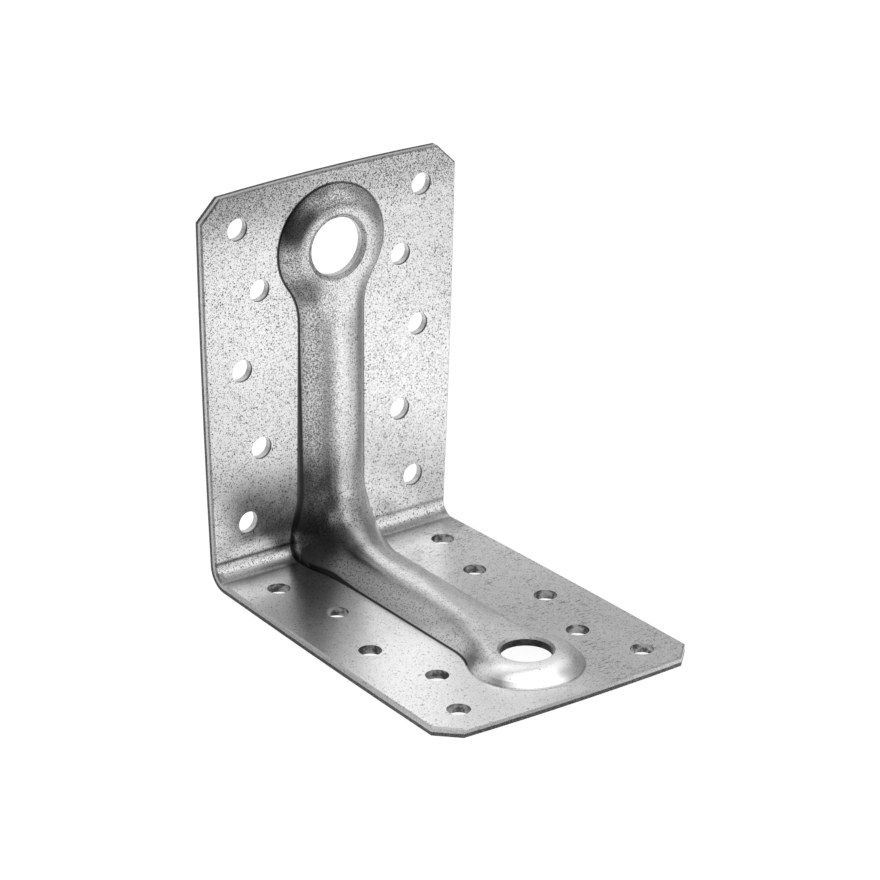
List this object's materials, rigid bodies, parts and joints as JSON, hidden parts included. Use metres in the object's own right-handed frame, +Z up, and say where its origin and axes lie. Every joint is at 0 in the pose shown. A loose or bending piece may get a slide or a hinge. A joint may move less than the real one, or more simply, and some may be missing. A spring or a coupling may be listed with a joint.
{
  "type": "reinforced angle bracket",
  "caption": "L-shaped angle bracket of pressed sheet steel for timber and concrete, with a rib over the bend that widens into a bolt hole boss on each leg, and rows of nail holes.",
  "frame": {"origin": "bottom centre of the bounding box, on the underside of the base leg", "axes": "+X along the base leg, away from the upright; +Y across the width; +Z up along the upright leg"},
  "size_m": [0.0888, 0.065, 0.0888],
  "materials": {
    "zinc_coated_steel": "satin zinc coat with a fine dark speckle"
  },
  "bodies": {
    "root": {"angle_bracket": "zinc_coated_steel"}
  },
  "joints": []
}
